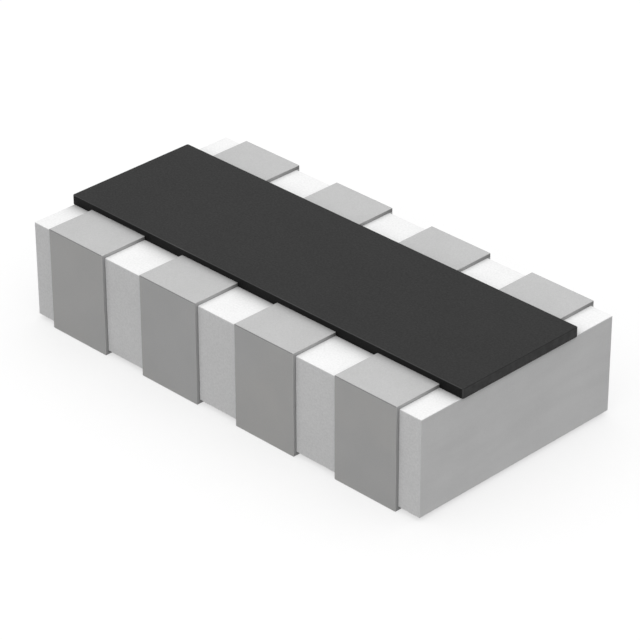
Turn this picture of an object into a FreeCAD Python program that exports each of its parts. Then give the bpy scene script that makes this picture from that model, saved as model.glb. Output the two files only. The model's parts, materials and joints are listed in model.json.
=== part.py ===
import FreeCAD, Part
import math
import os

# A chip resistor network: separate thick-film resistors side by side on one alumina block,
# each ending in two plated terminals that wrap round the long sides.
# Millimetres. X runs along the row of resistors, Y across the block, Z up.
# The origin is under the middle of the part, on the plane of the terminals' undersides.

# Row
element_count = 4
terminal_pitch = 0.80

# Alumina block, as long as the row has pitches
block_width = 1.59
block_thickness = 0.635
block_edge_radius = 0.005      # softened by tumbling, on all twelve edges

# Terminals: a silver core, a nickel barrier and a tin skin, each laid over the one before.
# The arms run from the terminal's outer face to its ends above and below the block, and every
# layer turns the corner as sharply as the block does.
terminal_width = 0.475
top_arm_length = 0.341
bottom_arm_length = 0.34
silver_thickness = 0.010
nickel_thickness = 0.006
tin_thickness = 0.008
tin_edge_bevel = 0.004

# Overcoat, from one pair of top arms to the other, and past each end of the block
overcoat_thickness = 0.063
overcoat_overhang = 0.012
overcoat_edge_radius = 0.005
overcoat_corner_radius = 0.012

# Resistor films, each under its own glass. Lengths along Y are counted inwards from the
# overcoat's edge, and what is left in the middle is the resistor's working length.
overcoat_margin = 0.073        # overcoat past the glass
glass_margin = 0.03            # glass past the film, all round
glass_thickness = 0.010
film_overlap = 0.06            # film on the flat of each top electrode
film_width = 0.36
film_thickness = 0.010
electrode_slope = 0.015        # the printed electrode's thin inner end

# Trim cut through glass and film: in from one side, then a turn along the current's path
trim_width = 0.04
trim_depth = 0.17
trim_length = 0.18
trim_offset = 0.10             # of the inward stroke from the film's middle

# Sizes that follow
block_length = element_count * terminal_pitch
metal_thickness = silver_thickness + nickel_thickness + tin_thickness
nickel_build = silver_thickness + nickel_thickness
block_bottom = metal_thickness
block_top = block_bottom + block_thickness
flat_edge = block_width / 2 - block_edge_radius
outer_face = block_width / 2 + metal_thickness
tin_free_end = outer_face - bottom_arm_length
nickel_free_end = tin_free_end + tin_thickness
silver_free_end = nickel_free_end + nickel_thickness
nickel_width = terminal_width - 2 * tin_thickness
silver_width = nickel_width - 2 * nickel_thickness
overcoat_edge = outer_face - top_arm_length
glass_end = overcoat_edge - overcoat_margin
film_end = glass_end - glass_margin
slope_top = film_end - film_overlap
slope_foot = slope_top - electrode_slope
glass_width = film_width + 2 * glass_margin
silver_top = block_top + silver_thickness
same_place = 1e-6


def section_point(y, z):
    """A point of a section, in the plane across the block."""
    return FreeCAD.Vector(0, y, z)


def extrude_section(edges, width):
    """A closed section across the block, extruded evenly to both sides of its plane."""
    section = Part.Face(Part.Wire(Part.__sortEdges__(edges)))
    solid = section.extrude(FreeCAD.Vector(width, 0, 0))
    solid.translate(FreeCAD.Vector(-width / 2, 0, 0))
    return solid


def extrude_outline(corners, width):
    """The same for a section with straight sides, given by its (y, z) corners in order."""
    points = [section_point(y, z) for y, z in corners]
    return extrude_section(Part.makePolygon(points + points[:1]).Edges, width)


def corner_arc(centre_y, centre_z, start, end):
    """The arc that turns a corner of a section, between two angles in degrees."""
    def at(angle):
        turn = math.radians(angle)
        return section_point(
            centre_y + block_edge_radius * math.cos(turn), centre_z + block_edge_radius * math.sin(turn))
    return Part.Arc(at(start), at((start + end) / 2), at(end)).toShape()


def path_round_block(build, top_end, bottom_end):
    """The line that runs round the block's front side at a distance from it."""
    side = -block_width / 2 - build
    over = block_top + build
    under = block_bottom - build
    corner = side + block_edge_radius
    upper_centre = over - block_edge_radius
    lower_centre = under + block_edge_radius
    path = [
        corner_arc(corner, upper_centre, 90, 180),
        Part.makeLine(section_point(side, upper_centre), section_point(side, lower_centre)),
        corner_arc(corner, lower_centre, 180, 270)]
    if top_end > corner + same_place:
        path.append(Part.makeLine(section_point(top_end, over), section_point(corner, over)))
    if bottom_end > corner + same_place:
        path.append(Part.makeLine(section_point(bottom_end, under), section_point(corner, under)))
    return path


def wrap(build, top_end, bottom_end, width):
    """A C-shaped shell of even thickness on the block's front side, between two ends in y."""
    edges = path_round_block(0, top_end, bottom_end) + path_round_block(build, top_end, bottom_end)
    for end, surface, away in ((top_end, block_top, build), (bottom_end, block_bottom, -build)):
        edges.append(Part.makeLine(section_point(end, surface), section_point(end, surface + away)))
    return extrude_section(edges, width)


def bevel_outside(shell):
    """Bevel the tin skin's outer edges: along both flanks, and at its free end below."""
    chosen = []
    for edge in shell.Edges:
        middle = edge.valueAt((edge.FirstParameter + edge.LastParameter) / 2)
        outermost = Part.Vertex(middle).distToShape(block)[0] > metal_thickness - same_place
        on_flank = abs(middle.x) > terminal_width / 2 - same_place
        at_free_end = middle.z < block_bottom and middle.y > -tin_free_end - same_place
        if outermost and (on_flank or at_free_end):
            chosen.append(edge)
    return shell.makeChamfer(tin_edge_bevel, chosen)


def make_block():
    blank = Part.makeBox(block_length, block_width, block_thickness)
    blank.translate(FreeCAD.Vector(-block_length / 2, -block_width / 2, block_bottom))
    return blank.makeFillet(block_edge_radius, blank.Edges)


def make_terminal():
    """The five pieces of a terminal on the block's front side, by name."""
    top_electrode = extrude_outline([
        (-flat_edge, block_top),
        (-flat_edge, silver_top),
        (-slope_top, silver_top),
        (-slope_foot, block_top)], silver_width)
    bottom_electrode = extrude_outline([
        (-flat_edge, block_bottom),
        (-flat_edge, block_bottom - silver_thickness),
        (-silver_free_end, block_bottom - silver_thickness),
        (-silver_free_end, block_bottom)], silver_width)
    side_electrode = wrap(silver_thickness, -flat_edge, -flat_edge, silver_width)

    core = wrap(silver_thickness, -slope_top, -silver_free_end, silver_width)
    barrier = wrap(nickel_build, -overcoat_edge, -nickel_free_end, nickel_width)
    skin = bevel_outside(wrap(metal_thickness, -overcoat_edge, -tin_free_end, terminal_width))
    return {
        "top_electrode": top_electrode,
        "bottom_electrode": bottom_electrode,
        "side_electrode": side_electrode,
        "nickel_barrier": barrier.cut(core),
        "tin_plating": skin.cut(barrier)}


def bridge_section(half, width):
    """A layer that bridges both electrodes: one half's (y, z) corners, mirrored and extruded."""
    return extrude_outline(half + [(-y, z) for y, z in reversed(half)], width)


def make_trim_cut():
    """The slot that the laser leaves, with round ends, standing on the block's top face."""
    height = silver_thickness + film_thickness + glass_thickness
    turn = film_width / 2 - trim_depth + trim_width / 2
    stroke = Part.makeBox(glass_width / 2 - turn, trim_width, height)
    stroke.translate(FreeCAD.Vector(turn, -trim_offset - trim_width / 2, block_top))
    leg = Part.makeBox(trim_width, trim_length, height)
    leg.translate(FreeCAD.Vector(turn - trim_width / 2, -trim_offset, block_top))
    ends = []
    for y in (-trim_offset, trim_length - trim_offset):
        ends.append(Part.makeCylinder(trim_width / 2, height, FreeCAD.Vector(turn, y, block_top)))
    return stroke.fuse([leg] + ends).removeSplitter()


def make_resistor():
    """One resistor's film and its glass, by name."""
    film = bridge_section([
        (slope_foot, block_top),
        (slope_top, silver_top),
        (film_end, silver_top),
        (film_end, silver_top + film_thickness),
        (slope_top, silver_top + film_thickness),
        (slope_foot, block_top + film_thickness)], film_width)
    coated = film_thickness + glass_thickness
    glass = bridge_section([
        (slope_foot, block_top),
        (slope_top, silver_top),
        (glass_end, silver_top),
        (film_end, silver_top + coated),
        (slope_top, silver_top + coated),
        (slope_foot, block_top + coated)], glass_width)
    trim_cut = make_trim_cut()
    return {
        "resistor_film": film.cut(trim_cut),
        "glass_cover": glass.cut(film).cut(trim_cut)}


def make_overcoat(buried):
    """The coat along the top, which fills in round everything that it buries."""
    length = block_length + 2 * overcoat_overhang
    coat = Part.makeBox(length, 2 * overcoat_edge, overcoat_thickness)
    coat.translate(FreeCAD.Vector(-length / 2, -overcoat_edge, block_top))
    upright = [edge for edge in coat.Edges if edge.BoundBox.ZLength > overcoat_thickness / 2]
    coat = coat.makeFillet(overcoat_corner_radius, upright)
    rim = [edge for edge in coat.Edges if edge.BoundBox.ZMin > block_top + overcoat_thickness / 2]
    return coat.makeFillet(overcoat_edge_radius, rim).cut(buried)


# Terminals 1 to 4 stand along the front. The back ones are the same terminals after half a turn,
# so their numbers carry on round the part, and 5 faces 4.
block = make_block()
pieces = {"substrate": block}
terminal = make_terminal()
resistor = make_resistor()
centre = FreeCAD.Vector(0, 0, 0)
upwards = FreeCAD.Vector(0, 0, 1)
half_turn = 180
for index in range(element_count):
    along = FreeCAD.Vector((index - (element_count - 1) / 2) * terminal_pitch, 0, 0)
    for name, layer in terminal.items():
        front = layer.translated(along)
        pieces[f"{name}_{index + 1}"] = front
        pieces[f"{name}_{index + 1 + element_count}"] = front.rotated(centre, upwards, half_turn)
    for name, layer in resistor.items():
        pieces[f"{name}_{index + 1}"] = layer.translated(along)
under_coat = ("top_electrode", "resistor_film", "glass_cover")
pieces["overcoat"] = make_overcoat([shape for name, shape in pieces.items() if name.startswith(under_coat)])

os.makedirs("parts", exist_ok=True)
for name, shape in pieces.items():
    shape.exportStep(f"parts/{name}.step")
    print(f"{name}: {len(shape.Solids)} solid, {shape.Volume:.6f} mm3")
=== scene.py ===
import bpy
import bmesh
import json
import math
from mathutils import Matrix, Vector

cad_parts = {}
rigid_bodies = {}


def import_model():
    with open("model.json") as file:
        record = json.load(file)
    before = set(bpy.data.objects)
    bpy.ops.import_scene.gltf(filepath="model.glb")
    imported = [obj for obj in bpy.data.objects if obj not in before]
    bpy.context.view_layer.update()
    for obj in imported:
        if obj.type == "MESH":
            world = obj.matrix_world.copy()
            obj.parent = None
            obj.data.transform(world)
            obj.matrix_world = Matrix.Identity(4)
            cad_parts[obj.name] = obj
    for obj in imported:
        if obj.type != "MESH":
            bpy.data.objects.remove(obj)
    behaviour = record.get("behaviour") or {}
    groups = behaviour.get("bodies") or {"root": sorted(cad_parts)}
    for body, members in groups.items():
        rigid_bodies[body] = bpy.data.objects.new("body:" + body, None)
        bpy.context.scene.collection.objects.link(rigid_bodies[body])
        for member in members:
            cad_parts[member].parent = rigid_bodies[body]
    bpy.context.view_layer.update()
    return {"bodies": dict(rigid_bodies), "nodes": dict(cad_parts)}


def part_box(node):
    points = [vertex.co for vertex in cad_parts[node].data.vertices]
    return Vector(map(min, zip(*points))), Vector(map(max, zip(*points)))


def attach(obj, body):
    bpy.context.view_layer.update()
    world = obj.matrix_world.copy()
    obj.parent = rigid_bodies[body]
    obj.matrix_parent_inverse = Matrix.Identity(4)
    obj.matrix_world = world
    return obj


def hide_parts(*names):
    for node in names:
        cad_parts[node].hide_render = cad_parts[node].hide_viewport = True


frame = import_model()
bpy.ops.object.select_all(action="DESELECT")
for spare in set(bpy.data.objects) - set(frame["nodes"].values()) - set(frame["bodies"].values()):
    bpy.data.objects.remove(spare)
print("frame:", len(frame["nodes"]), "nodes")

# Blender's bevel and merge tools lose lengths of a few micrometres, so each piece is modelled
# on a bench where one unit is a millimetre, and brought down to metres when it is finished.
bench = 1000
tiny = 0.0005             # two places on the bench that are closer than this are the same
mergeDistance = 0.0001
rowLength = 4             # terminals on each long side


# camera, at the photograph's angle
cameraPlace = {
    "location": (0.01144133, -0.01140325, 0.00968668),
    "rotation": (1.04453, 0.00195, 0.78449),
    "lens": 177.607,
    "sensor": 36,
    "near": 0.0005,
    "far": 0.5,
}


def placeCamera(place):
    bpy.ops.object.camera_add(location=place["location"], rotation=place["rotation"])
    camera = bpy.context.active_object
    camera.name = "camera"
    camera.data.lens = place["lens"]
    camera.data.sensor_width = place["sensor"]
    camera.data.clip_start = place["near"]
    camera.data.clip_end = place["far"]
    bpy.context.scene.camera = camera


placeCamera(cameraPlace)
bpy.context.scene.view_settings.view_transform = "Standard"
print("camera placed")


# modelling helpers

def nodeBox(node):
    low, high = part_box(node)
    return low * bench, high * bench


def selectOnly(*pieces):
    bpy.ops.object.select_all(action="DESELECT")
    for piece in pieces:
        piece.select_set(True)
    bpy.context.view_layer.objects.active = pieces[0]


def applyTransform():
    bpy.ops.object.transform_apply(location=True, rotation=True, scale=True)


def addBox(name, low, high):
    bpy.ops.object.select_all(action="DESELECT")
    bpy.ops.mesh.primitive_cube_add(size=1, location=(low + high) / 2, scale=high - low)
    piece = bpy.context.active_object
    piece.name = name
    applyTransform()
    return piece


def pickEdges(piece, wanted):
    bpy.context.tool_settings.mesh_select_mode = (False, True, False)
    bpy.ops.mesh.select_all(action="DESELECT")
    mesh = bmesh.from_edit_mesh(piece.data)
    for edge in mesh.edges:
        if wanted(edge):
            edge.select_set(True)
    bmesh.update_edit_mesh(piece.data)


def pickFaces(piece, wanted):
    bpy.context.tool_settings.mesh_select_mode = (False, False, True)
    bpy.ops.mesh.select_all(action="DESELECT")
    mesh = bmesh.from_edit_mesh(piece.data)
    mesh.normal_update()
    for face in mesh.faces:
        if wanted(face):
            face.select_set(True)
    bmesh.update_edit_mesh(piece.data)


def bevelPicked(radius, steps):
    bpy.ops.mesh.bevel(offset=radius, segments=steps, affect="EDGES")


def pushFaces(piece, wanted, step):
    pickFaces(piece, wanted)
    bpy.ops.mesh.extrude_region_move(TRANSFORM_OT_translate={"value": step})


def isUpright(edge):
    step = edge.verts[0].co - edge.verts[1].co
    return abs(step.z) > abs(step.x) + abs(step.y)


def finishPiece(piece, node, smoothAngle=40):
    selectOnly(piece)
    bpy.ops.object.shade_smooth_by_angle(angle=math.radians(smoothAngle))
    even = piece.modifiers.new("even shading", "WEIGHTED_NORMAL")    # flats stay flat up to their edges
    even.weight = 100
    even.keep_sharp = True
    bpy.ops.object.modifier_apply(modifier=even.name)
    piece.scale = (1 / bench,) * 3
    applyTransform()
    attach(piece, "root")
    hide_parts(node)


# alumina block: snapped from a plate and tumbled, so every edge is a little rounded
blockForm = {"edgeRadius": 0.005, "edgeSteps": 4}


def makeBlock(form):
    block = addBox("alumina_block", *nodeBox("substrate"))
    bpy.ops.object.mode_set(mode="EDIT")
    pickEdges(block, lambda edge: True)
    bevelPicked(form["edgeRadius"], form["edgeSteps"])
    bpy.ops.object.mode_set(mode="OBJECT")
    return block


block = makeBlock(blockForm)
finishPiece(block, "substrate")
print("alumina block made")


# tin terminal: a skin that wraps from the top face, down the side and under the block
tinForm = {
    "underEnd": 0.479,       # the lower arm's free end, from the part's middle line
    "skin": 0.008,           # the tin alone: nickel and silver lie inside it
    "cornerRadius": 0.005,
    "cornerSteps": 4,
    "edgeRadius": 0.004,
    "edgeSteps": 3,
}


def makeTerminal(form):
    low, high = nodeBox("tin_plating_1")
    blockLow, blockHigh = nodeBox("substrate")
    centreX = (low.x + high.x) / 2
    build = high.z - blockHigh.z

    def facesDown(face):
        return face.normal.z < -0.9

    def facesBack(face):
        return face.normal.y > 0.9

    # the outline first: a top arm, the corner, the side, the lower corner and its arm
    terminal = addBox("tin_terminal_1", Vector((low.x, blockLow.y, blockHigh.z)), high)
    bpy.ops.object.mode_set(mode="EDIT")
    pushFaces(terminal, lambda face: face.normal.y < -0.9, (0, -build, 0))
    pushFaces(terminal, lambda face: facesDown(face) and face.calc_center_median().y < blockLow.y,
              (0, 0, blockLow.z - blockHigh.z))
    pushFaces(terminal, lambda face: facesDown(face) and face.calc_center_median().z < blockHigh.z - tiny,
              (0, 0, -build))
    pushFaces(terminal, lambda face: facesBack(face) and face.calc_center_median().z < blockLow.z,
              (0, -form["underEnd"] - blockLow.y, 0))

    # open it towards the block and the coat, and give the sheet that is left the tin's thickness
    def onBlock(point):
        return point.y > blockLow.y - tiny and blockLow.z - tiny < point.z < blockHigh.z + tiny

    def isOpen(face):
        towardsCoat = facesBack(face) and face.calc_center_median().z > blockHigh.z
        return towardsCoat or all(onBlock(corner.co) for corner in face.verts)

    pickFaces(terminal, isOpen)
    bpy.ops.mesh.delete(type="FACE")
    bpy.ops.object.mode_set(mode="OBJECT")
    wall = terminal.modifiers.new("skin", "SOLIDIFY")
    wall.thickness = form["skin"]
    wall.offset = -1
    wall.use_even_offset = True
    bpy.ops.object.modifier_apply(modifier=wall.name)

    # round the outer corners, and the inner ones where the flanks fit the block's rounded edges
    def isCorner(edge):
        first, second = (end.co for end in edge.verts)
        place = (first + second) / 2
        if abs(first.x - second.x) < tiny:
            return False
        outer = place.y < low.y + tiny and (place.z > high.z - tiny or place.z < low.z + tiny)
        inner = abs(place.y - blockLow.y) < tiny and (
            abs(place.z - blockHigh.z) < tiny or abs(place.z - blockLow.z) < tiny)
        return outer or inner

    # plating leaves no sharp outer edge, along the flanks or at the free end below
    def onOuterBend(point):
        return point.y < low.y + form["cornerRadius"] + tiny and (
            point.z > high.z - form["cornerRadius"] - tiny or point.z < low.z + form["cornerRadius"] + tiny)

    def onOutside(point):
        return (point.z > high.z - tiny or point.z < low.z + tiny or point.y < low.y + tiny
                or onOuterBend(point))

    def isOuterEdge(edge):
        ends = [end.co for end in edge.verts]
        onFlank = abs(sum(end.x - centreX for end in ends)) > high.x - low.x - tiny
        meetsBlock = any(onBlock(end) for end in ends)
        crossesArm = all(end.y > high.y - tiny and end.z > blockHigh.z - tiny for end in ends)
        alongFlank = onFlank and all(onOutside(end) for end in ends) and not meetsBlock and not crossesArm
        return alongFlank or all(end.z < low.z + tiny and end.y > -form["underEnd"] - tiny for end in ends)

    bpy.ops.object.mode_set(mode="EDIT")
    pickEdges(terminal, isCorner)
    bevelPicked(form["cornerRadius"], form["cornerSteps"])
    pickEdges(terminal, isOuterEdge)
    bevelPicked(form["edgeRadius"], form["edgeSteps"])
    bpy.ops.object.mode_set(mode="OBJECT")
    return terminal


def copyTerminal(first, number):
    selectOnly(first)
    bpy.ops.object.duplicate()
    copy = bpy.context.active_object
    copy.name = "tin_terminal_" + str(number)
    opposite = number - rowLength if number > rowLength else number
    start = nodeBox("tin_plating_1")[0].x
    bpy.ops.transform.translate(value=(nodeBox("tin_plating_" + str(opposite))[0].x - start, 0, 0))
    applyTransform()
    if number > rowLength:
        bpy.ops.transform.rotate(value=math.radians(180), orient_axis="Z", center_override=(0, 0, 0))
        applyTransform()
    return copy


terminals = [makeTerminal(tinForm)]
terminals += [copyTerminal(terminals[0], number) for number in range(2, 2 * rowLength + 1)]
for number, terminal in enumerate(terminals, 1):
    finishPiece(terminal, "tin_plating_" + str(number))
print("terminals made:", len(terminals))


# overcoat: a thick printed coat with rounded corners, filled in round what lies under it
coatForm = {"cornerRadius": 0.012, "cornerSteps": 6, "rimRadius": 0.005, "rimSteps": 4}


def copyBuried(start):
    bpy.ops.object.select_all(action="DESELECT")
    for name, node in frame["nodes"].items():
        if name.startswith(start):
            node.select_set(True)
            bpy.context.view_layer.objects.active = node
    bpy.ops.object.duplicate()
    bpy.ops.object.join()
    buried = bpy.context.active_object
    buried.parent = None
    buried.scale = (bench,) * 3
    applyTransform()
    bpy.ops.object.mode_set(mode="EDIT")
    bpy.ops.mesh.select_all(action="SELECT")
    bpy.ops.mesh.remove_doubles(threshold=mergeDistance)
    bpy.ops.object.mode_set(mode="OBJECT")
    return buried


def makeCoat(form):
    low, high = nodeBox("overcoat")
    coat = addBox("overcoat_strip", low, high)
    bpy.ops.object.mode_set(mode="EDIT")
    pickEdges(coat, isUpright)
    bevelPicked(form["cornerRadius"], form["cornerSteps"])
    pickEdges(coat, lambda edge: min(end.co.z for end in edge.verts) > high.z - tiny)
    bevelPicked(form["rimRadius"], form["rimSteps"])
    bpy.ops.object.mode_set(mode="OBJECT")

    for start in "top_electrode", "resistor_film", "glass_cover":
        buried = copyBuried(start)
        selectOnly(coat)
        hollow = coat.modifiers.new("hollow", "BOOLEAN")
        hollow.operation = "DIFFERENCE"
        hollow.solver = "EXACT"
        hollow.object = buried
        bpy.ops.object.modifier_apply(modifier=hollow.name)
        bpy.data.objects.remove(buried)
    return coat


coat = makeCoat(coatForm)
finishPiece(coat, "overcoat")
print("overcoat made:", len(coat.data.polygons), "faces")


# material helpers: patterns are laid out in millimetres of the object

def addNode(tree, kind, values=None, **settings):
    node = tree.nodes.new(kind)
    for name, value in settings.items():
        setattr(node, name, value)
    for name, value in (values or {}).items():
        if isinstance(value, bpy.types.NodeSocket):
            tree.links.new(value, node.inputs[name])
        else:
            node.inputs[name].default_value = value
    return node


def newMaterial(name):
    material = bpy.data.materials.new(name)
    material.use_nodes = True
    tree = material.node_tree
    shader = tree.nodes["Principled BSDF"]
    place = addNode(tree, "ShaderNodeTexCoord")
    ruler = addNode(tree, "ShaderNodeMapping", {"Vector": place.outputs["Object"], "Scale": (bench,) * 3})
    return material, tree, shader, ruler.outputs["Vector"]


def addNoise(tree, ruler, size, detail=2, stretch=(1, 1, 1), turn=(0, 0, 0), shift=0):
    place = addNode(tree, "ShaderNodeMapping", {
        "Vector": ruler, "Location": (shift,) * 3, "Rotation": turn,
        "Scale": tuple(1 / (size * along) for along in stretch)})
    noise = addNode(tree, "ShaderNodeTexNoise", {
        "Vector": place.outputs["Vector"], "Scale": 1, "Detail": detail})
    return noise.outputs["Fac"]


def remap(tree, value, fromLow, fromHigh, low, high):
    node = addNode(tree, "ShaderNodeMapRange", {
        "Value": value, "From Min": fromLow, "From Max": fromHigh, "To Min": low, "To Max": high})
    return node.outputs["Result"]


def spread(tree, noise, low, high, margin=0.3):
    # noise seldom leaves the middle of its range, so the middle is what gets stretched
    return remap(tree, noise, margin, 1 - margin, low, high)


def blendColour(tree, share, first, second):
    node = addNode(tree, "ShaderNodeMix", data_type="RGBA")
    for socket, value in zip((node.inputs[0], node.inputs[6], node.inputs[7]), (share, first, second)):
        if isinstance(value, bpy.types.NodeSocket):
            tree.links.new(value, socket)
        else:
            socket.default_value = value
    return node.outputs[2]


def addBump(tree, height, depth, under=None):
    values = {"Height": height, "Distance": depth / bench, "Strength": 1}
    if under is not None:
        values["Normal"] = under
    return addNode(tree, "ShaderNodeBump", values).outputs["Normal"]


def calculate(tree, operation, first, *others):
    # further values are taken in one after another
    for other in others or (0,):
        first = addNode(tree, "ShaderNodeMath", {0: first, 1: other}, operation=operation).outputs[0]
    return first


def splitVector(tree, vector):
    return addNode(tree, "ShaderNodeSeparateXYZ", {0: vector}).outputs


def faceDirections(tree):
    # how far a face looks along x, y and z, each from 0 to 1
    place = addNode(tree, "ShaderNodeTexCoord")
    size = addNode(tree, "ShaderNodeVectorMath", {0: place.outputs["Normal"]}, operation="ABSOLUTE")
    return splitVector(tree, size.outputs[0])


def edgeMask(tree):
    # 1 on the rounded edges and 0 on the flats
    flattest = calculate(tree, "MAXIMUM", *faceDirections(tree))
    return remap(tree, flattest, 0.995, 0.86, 0, 1)


def fadeOver(tree, distance, reach):
    # 1 at no distance, and less and less beyond it
    return calculate(tree, "EXPONENT", calculate(tree, "MULTIPLY", distance, -1 / reach))


def fadeOffCoat(tree, across, reach):
    # the same away from the coat's long edges, across the part
    away = calculate(tree, "SUBTRACT", calculate(tree, "ABSOLUTE", across), nodeBox("overcoat")[1].y)
    return fadeOver(tree, away, reach)


def setMaterial(material, *pieces):
    for piece in pieces:
        piece.data.materials.clear()
        piece.data.materials.append(material)


# alumina: sintered white ceramic, matt, with a fine grain, faint clouds and long streaks on the
# broken ends. Painted shade greys its top next to the coat and beside the terminals.
aluminaLook = {
    "pale": (0.94, 0.94, 0.94, 1),
    "dull": (0.83, 0.83, 0.83, 1),
    # painted shade: the grey the top takes next to the coat and beside the terminals
    "paintedShade": (0.40, 0.40, 0.40, 1),
    "paintedShadeReach": 0.044,
    "paintedShadeDepth": 0.001,         # down the top face's rounded edges
    "besideTin": 0.36,
    "besideReach": 0.018,
    "grain": 0.012,
    "grainShare": (0, 0.8),
    "endGrainShare": (0.3, 0.5),
    "grainDepth": 0.0006,
    "cloud": 0.35,
    "streak": 0.16,
    "streakStretch": (1, 4, 0.7),
    "streakTurn": (0.2, 0, 0),
    "streakDepth": 0.0012,
    "softShare": 0.3,           # what clouds and streaks add to the grain at most
    "rough": (0.75, 0.92),
    "specular": 0.3,
}


def makeAlumina(look):
    material, tree, shader, ruler = newMaterial("alumina")
    along = faceDirections(tree)
    place = splitVector(tree, ruler)
    grain = addNoise(tree, ruler, look["grain"], detail=3)
    cloud = addNoise(tree, ruler, look["cloud"], detail=4)
    streak = addNoise(tree, ruler, look["streak"], detail=4, stretch=look["streakStretch"],
                      turn=look["streakTurn"], shift=5)

    onEnd = remap(tree, along[0], 0.5, 0.9, 0, 1)
    least, most = [remap(tree, onEnd, 0, 1, *limits)
                   for limits in zip(look["grainShare"], look["endGrainShare"])]
    clouds = spread(tree, cloud, 0, look["softShare"], margin=0.35)
    streaks = spread(tree, streak, 0, look["softShare"], margin=0.35)
    share = calculate(tree, "ADD", spread(tree, grain, least, most), clouds,
                      calculate(tree, "MULTIPLY", streaks, onEnd))
    colour = blendColour(tree, share, look["pale"], look["dull"])

    # terminals and gaps take turns from the part's middle, where there is a gap
    tinLow, tinHigh = nodeBox("tin_plating_1")
    pitch = nodeBox("tin_plating_2")[0].x - tinLow.x
    gap = pitch - tinHigh.x + tinLow.x
    offTin = calculate(tree, "SUBTRACT", gap / 2, calculate(tree, "PINGPONG", place[0], pitch / 2))
    besideTin = calculate(tree, "MULTIPLY", fadeOver(tree, offTin, look["besideReach"]), look["besideTin"])
    besideCoat = fadeOffCoat(tree, place[1], look["paintedShadeReach"])
    onTop = calculate(tree, "GREATER_THAN", place[2], nodeBox("substrate")[1].z - look["paintedShadeDepth"])
    # painted shade: the top greyed next to the coat's long edges and beside the terminals' flanks
    paintedShade = calculate(tree, "MULTIPLY", calculate(tree, "MAXIMUM", besideCoat, besideTin), onTop,
                     spread(tree, cloud, 0.8, 1))
    tree.links.new(blendColour(tree, paintedShade, colour, look["paintedShade"]), shader.inputs["Base Color"])

    tree.links.new(spread(tree, grain, *look["rough"]), shader.inputs["Roughness"])
    shader.inputs["Specular IOR Level"].default_value = look["specular"]
    torn = addBump(tree, calculate(tree, "MULTIPLY", streak, onEnd), look["streakDepth"])
    tree.links.new(addBump(tree, grain, look["grainDepth"], torn), shader.inputs["Normal"])
    return material


setMaterial(makeAlumina(aluminaLook), block)


# tin: plated matt, with a fine crystal grain that shows most on the top arms, warmer in places
# down its face. Painted shade darkens the flanks, the upper bend, the flanks' foot, the flanks near
# the coat and towards the back arms' outer ends, and the arms' tops near the coat. Painted
# highlights lighten its outer flank edges in places, where they are also burnished smoother.
tinLook = {
    "grey": (0.494, 0.494, 0.494, 1),
    "warm": (0.502, 0.493, 0.476, 1),
    "dark": (0.438, 0.438, 0.437, 1),
    # painted shade on the flanks
    "flankShade": (0.43, 0.43, 0.43, 1),
    # painted shade along the upper bend
    "bendShade": (0.27, 0.27, 0.27, 1),
    "bendDepth": 0.006,
    # painted shade: the colour for the flanks near the coat, towards the back arms' outer ends and at their
    # foot, and for the arms' tops near the coat
    "tinShade": (0.12, 0.12, 0.118, 1),
    "coatShadeReach": 0.09,
    "film": 0.115,              # painted shade on the arms' tops near the coat
    "filmReach": 0.07,
    "behind": 0.7,              # painted shade, towards the outer ends of the back arms
    "behindReach": 0.32,
    "foot": 0.6,
    "footReach": 0.005,
    # painted highlight on the outer flank edges
    "edgeHighlight": (0.54, 0.54, 0.53, 1),
    "grain": 0.007,
    "grainShare": (0.3, 0.5),
    "topGrainShare": (0.1, 0.7),
    "grainDepth": 0.0005,
    "stain": 0.22,
    "stainShare": 0.3,
    "cloud": 0.9,
    "metallic": 0.2,
    "rough": (0.5, 0.68),
    "burnish": 0.15,            # off the roughness
}


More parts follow.
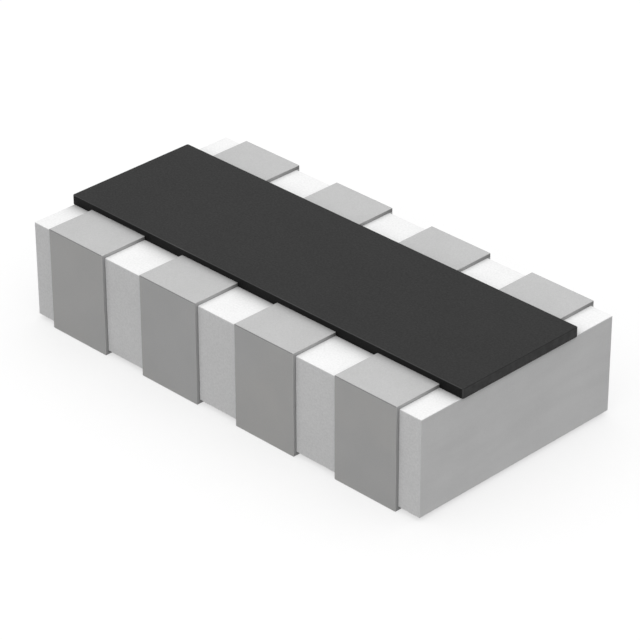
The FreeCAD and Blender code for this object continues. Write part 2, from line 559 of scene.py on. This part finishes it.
def makeTin(look):
    material, tree, shader, ruler = newMaterial("tin")
    along = faceDirections(tree)
    place = splitVector(tree, ruler)
    grain = addNoise(tree, ruler, look["grain"], detail=3)
    stain = addNoise(tree, ruler, look["stain"], detail=5, shift=3)
    cloud = addNoise(tree, ruler, look["cloud"], detail=2, shift=6)
    onFlank = remap(tree, along[0], 0.5, 0.95, 0, 1)
    onFace = remap(tree, along[1], 0.5, 0.9, 0, 1)

    warmth = calculate(tree, "MULTIPLY", remap(tree, cloud, 0.35, 0.55, 0.1, 1), onFace)
    tone = blendColour(tree, warmth, look["grey"], look["warm"])
    least, most = [remap(tree, along[2], 0, 1, *limits)
                   for limits in zip(look["grainShare"], look["topGrainShare"])]
    stains = spread(tree, stain, 0, look["stainShare"], margin=0.35)
    share = calculate(tree, "ADD", spread(tree, grain, least, most), stains)
    colour = blendColour(tree, share, tone, look["dark"])
    # painted shade: the flanks darker
    colour = blendColour(tree, onFlank, colour, look["flankShade"])

    # painted shade: a dark line along the face's upper bend
    nearTop = calculate(tree, "GREATER_THAN", place[2], nodeBox("tin_plating_1")[1].z - look["bendDepth"])
    bendShade = calculate(tree, "MULTIPLY", nearTop, remap(tree, along[1], 0.2, 0.45, 0, 1))
    colour = blendColour(tree, bendShade, colour, look["bendShade"])

    # how far a point stands out from the block, above, below or beside it
    blockLow, blockHigh = nodeBox("substrate")
    above = calculate(tree, "SUBTRACT", place[2], blockHigh.z)
    below = calculate(tree, "SUBTRACT", blockLow.z, place[2])
    beside = calculate(tree, "SUBTRACT", calculate(tree, "ABSOLUTE", place[1]), blockHigh.y)
    proud = calculate(tree, "MAXIMUM", above, below, beside)
    # painted shade: darker at the flanks' foot, near the coat, towards the back arms' outer ends, and on
    # the arms' tops near the coat
    foot = calculate(tree, "MULTIPLY", fadeOver(tree, proud, look["footReach"]), look["foot"])
    onArm = calculate(tree, "GREATER_THAN", above, 0)
    behind = remap(tree, place[1], blockHigh.y - look["behindReach"], blockHigh.y, 0, look["behind"])
    tinShade = calculate(tree, "MAXIMUM", fadeOffCoat(tree, place[1], look["coatShadeReach"]), behind)
    tinShade = calculate(tree, "MAXIMUM", calculate(tree, "MULTIPLY", tinShade, onArm), foot)
    film = calculate(tree, "MULTIPLY", fadeOffCoat(tree, place[1], look["filmReach"]), look["film"],
                     onArm, along[2])
    tinShade = calculate(tree, "MAXIMUM", calculate(tree, "MULTIPLY", tinShade, onFlank), film)
    colour = blendColour(tree, tinShade, colour, look["tinShade"])

    # painted highlight: the outer flank edges lighter in places, and smoother there
    highlitEdge = calculate(tree, "MULTIPLY", edgeMask(tree), remap(tree, stain, 0.4, 0.6, 0.2, 0.8),
                     remap(tree, along[0], 0.1, 0.4, 0, 1))
    tree.links.new(blendColour(tree, highlitEdge, colour, look["edgeHighlight"]), shader.inputs["Base Color"])
    shader.inputs["Metallic"].default_value = look["metallic"]
    rough = calculate(tree, "SUBTRACT", spread(tree, grain, *look["rough"]),
                      calculate(tree, "MULTIPLY", highlitEdge, look["burnish"]))
    tree.links.new(rough, shader.inputs["Roughness"])
    tree.links.new(addBump(tree, grain, look["grainDepth"]), shader.inputs["Normal"])
    return material


setMaterial(makeTin(tinLook), *terminals)


# overcoat: black filled epoxy. Painted shade makes its long sides darkest and painted light its
# ends a little paler, and a painted highlight lies on its upright corners and long upper edges.
coatLook = {
    "top": (0.0161, 0.0161, 0.0161, 1),
    # painted shade on the long sides, painted light on the ends
    "side": (0.004, 0.004, 0.004, 1),
    "end": (0.043, 0.043, 0.043, 1),
    "endPale": (0.062, 0.062, 0.062, 1),
    # painted highlight on the upright corners and long upper edges
    "highlitEdge": (0.085, 0.085, 0.085, 1),
    "speck": 0.012,
    "speckDepth": 0.0006,
    "blotch": 0.05,
    "wave": 0.3,
    "waveDepth": 0.002,
    "shade": (0.9, 1.1),
    "rough": (0.55, 0.72),
    "specular": 0.14,
}


def makeCoatLook(look):
    material, tree, shader, ruler = newMaterial("overcoat")
    along = faceDirections(tree)
    speck = addNoise(tree, ruler, look["speck"], detail=3)
    wave = addNoise(tree, ruler, look["wave"], detail=3, shift=7)
    blotch = addNoise(tree, ruler, look["blotch"], detail=3, shift=4)
    # painted light and shade: the ends paler, the long sides darkest, the top between them
    end = blendColour(tree, spread(tree, blotch, 0, 1, margin=0.35), look["end"], look["endPale"])
    side = blendColour(tree, remap(tree, along[1], 0.4, 0.9, 0, 1), end, look["side"])
    colour = blendColour(tree, remap(tree, along[2], 0.2, 0.7, 0, 1), side, look["top"])

    # painted highlight on the upright corners and the long upper edges
    edge = calculate(tree, "MULTIPLY", calculate(tree, "MAXIMUM", along[0], along[2]), along[1])
    highlitEdge = calculate(tree, "MULTIPLY", remap(tree, edge, 0.25, 0.45, 0, 1),
                     spread(tree, wave, 0.6, 1, margin=0.35))
    colour = blendColour(tree, highlitEdge, colour, look["highlitEdge"])
    shade = addNode(tree, "ShaderNodeHueSaturation", {
        "Color": colour,
        "Value": remap(tree, calculate(tree, "ADD", speck, wave), 0.7, 1.3, *look["shade"])})
    tree.links.new(shade.outputs["Color"], shader.inputs["Base Color"])

    tree.links.new(spread(tree, speck, *look["rough"]), shader.inputs["Roughness"])
    shader.inputs["Specular IOR Level"].default_value = look["specular"]
    ripple = addBump(tree, wave, look["waveDepth"])
    tree.links.new(addBump(tree, speck, look["speckDepth"], ripple), shader.inputs["Normal"])
    return material


setMaterial(makeCoatLook(coatLook), coat)


# layers that the tin and the coat hide: printed silver, plated nickel, fired film and its glass
layerLooks = {
    "silver": {
        "nodes": ("top_electrode", "bottom_electrode", "side_electrode"),
        "bright": (0.80, 0.79, 0.76, 1), "dark": (0.62, 0.60, 0.56, 1),
        "metallic": 0.9, "rough": (0.38, 0.6), "grain": 0.012, "depth": 0.0012, "clear": 0},
    "nickel": {
        "nodes": ("nickel_barrier",),
        "bright": (0.56, 0.55, 0.51, 1), "dark": (0.47, 0.46, 0.42, 1),
        "metallic": 1, "rough": (0.25, 0.42), "grain": 0.006, "depth": 0.0004, "clear": 0},
    "resistive_film": {
        "nodes": ("resistor_film",),
        "bright": (0.075, 0.075, 0.08, 1), "dark": (0.045, 0.045, 0.05, 1),
        "metallic": 0.2, "rough": (0.35, 0.65), "grain": 0.01, "depth": 0.0010, "clear": 0},
    "cover_glass": {
        "nodes": ("glass_cover",),
        "bright": (0.22, 0.36, 0.26, 1), "dark": (0.17, 0.30, 0.21, 1),
        "metallic": 0, "rough": (0.08, 0.2), "grain": 0.05, "depth": 0.0015, "clear": 0.6},
}
patchSize = 12            # patches are this many times as large as the grain


def makeLayerLook(name, look):
    material, tree, shader, ruler = newMaterial(name)
    grain = addNoise(tree, ruler, look["grain"], detail=4)
    patch = addNoise(tree, ruler, look["grain"] * patchSize, detail=3, shift=2)
    share = calculate(tree, "ADD", spread(tree, grain, 0, 0.6), spread(tree, patch, 0, 0.4, margin=0.35))
    tree.links.new(blendColour(tree, share, look["bright"], look["dark"]), shader.inputs["Base Color"])
    tree.links.new(spread(tree, grain, *look["rough"]), shader.inputs["Roughness"])
    shader.inputs["Metallic"].default_value = look["metallic"]
    shader.inputs["Transmission Weight"].default_value = look["clear"]
    tree.links.new(addBump(tree, grain, look["depth"]), shader.inputs["Normal"])
    return material


for name, look in layerLooks.items():
    setMaterial(makeLayerLook(name, look), *[node for key, node in frame["nodes"].items()
                                             if key.startswith(look["nodes"])])
print("materials made")


# studio: a pale lit table, a soft box overhead, a weak lamp in front and an even room
studio = {
    "table": 0.12,
    "tableDrop": 0.000001,    # so that it doesn't lie in the terminals' undersides
    "tableShine": 0.065,      # what the table gives back to the object, evenly
    "tableGlow": 0.6,         # what it shows by itself, the rest is lit and holds the shadow
    "room": 0.435,
    "softBox": {"size": 0.05, "location": (0, 0, 0.0145), "rotation": (0, 0, 0), "power": 0.00597},
    "frontLamp": {"size": 0.006, "location": (0.004, -0.0125, 0.005), "rotation": (1.207, 0, 0.31),
                  "power": 0.000152},
}
white = (1, 1, 1, 1)


def seenShare(tree):
    # 1 for what the camera sees, also in gloss and through glass
    path = addNode(tree, "ShaderNodeLightPath")
    return calculate(tree, "MAXIMUM", *[path.outputs[ray] for ray in (
        "Is Camera Ray", "Is Glossy Ray", "Is Transmission Ray")])


def showSeen(tree, unseen, seen, output):
    # the second of two looks is for what the camera sees, and the first for everything else
    mix = addNode(tree, "ShaderNodeMixShader", {
        0: seenShare(tree), 1: unseen.outputs[0], 2: seen.outputs[0]})
    tree.links.new(mix.outputs[0], tree.nodes[output].inputs["Surface"])


def makeTable(studio):
    bpy.ops.object.select_all(action="DESELECT")
    bpy.ops.mesh.primitive_plane_add(size=studio["table"], location=(0, 0, -studio["tableDrop"]))
    table = bpy.context.active_object
    table.name = "table"
    material = bpy.data.materials.new("table")
    material.use_nodes = True
    tree = material.node_tree
    tree.nodes.remove(tree.nodes["Principled BSDF"])
    glow = studio["tableGlow"]
    quiet = addNode(tree, "ShaderNodeEmission", {"Color": white, "Strength": studio["tableShine"]})
    lit = addNode(tree, "ShaderNodeBsdfDiffuse", {"Color": (1 - glow,) * 3 + (1,)})
    own = addNode(tree, "ShaderNodeEmission", {"Color": white, "Strength": glow})
    both = addNode(tree, "ShaderNodeAddShader", {0: lit.outputs[0], 1: own.outputs[0]})
    showSeen(tree, quiet, both, "Material Output")
    table.data.materials.append(material)


def makeRoom(studio):
    world = bpy.data.worlds.new("room")
    bpy.context.scene.world = world
    world.use_nodes = True
    tree = world.node_tree
    light = tree.nodes["Background"]
    light.inputs["Color"].default_value = white
    light.inputs["Strength"].default_value = studio["room"]
    seen = addNode(tree, "ShaderNodeBackground", {"Color": white, "Strength": 1})
    showSeen(tree, light, seen, "World Output")


def addLamp(name, lamp):
    bpy.ops.object.light_add(type="AREA", location=lamp["location"], rotation=lamp["rotation"])
    light = bpy.context.active_object
    light.name = name
    light.data.shape = "SQUARE"
    light.data.size = lamp["size"]
    light.data.energy = lamp["power"]
    light.visible_camera = False


makeTable(studio)
makeRoom(studio)
addLamp("soft_box", studio["softBox"])
addLamp("front_lamp", studio["frontLamp"])
print("studio lit")
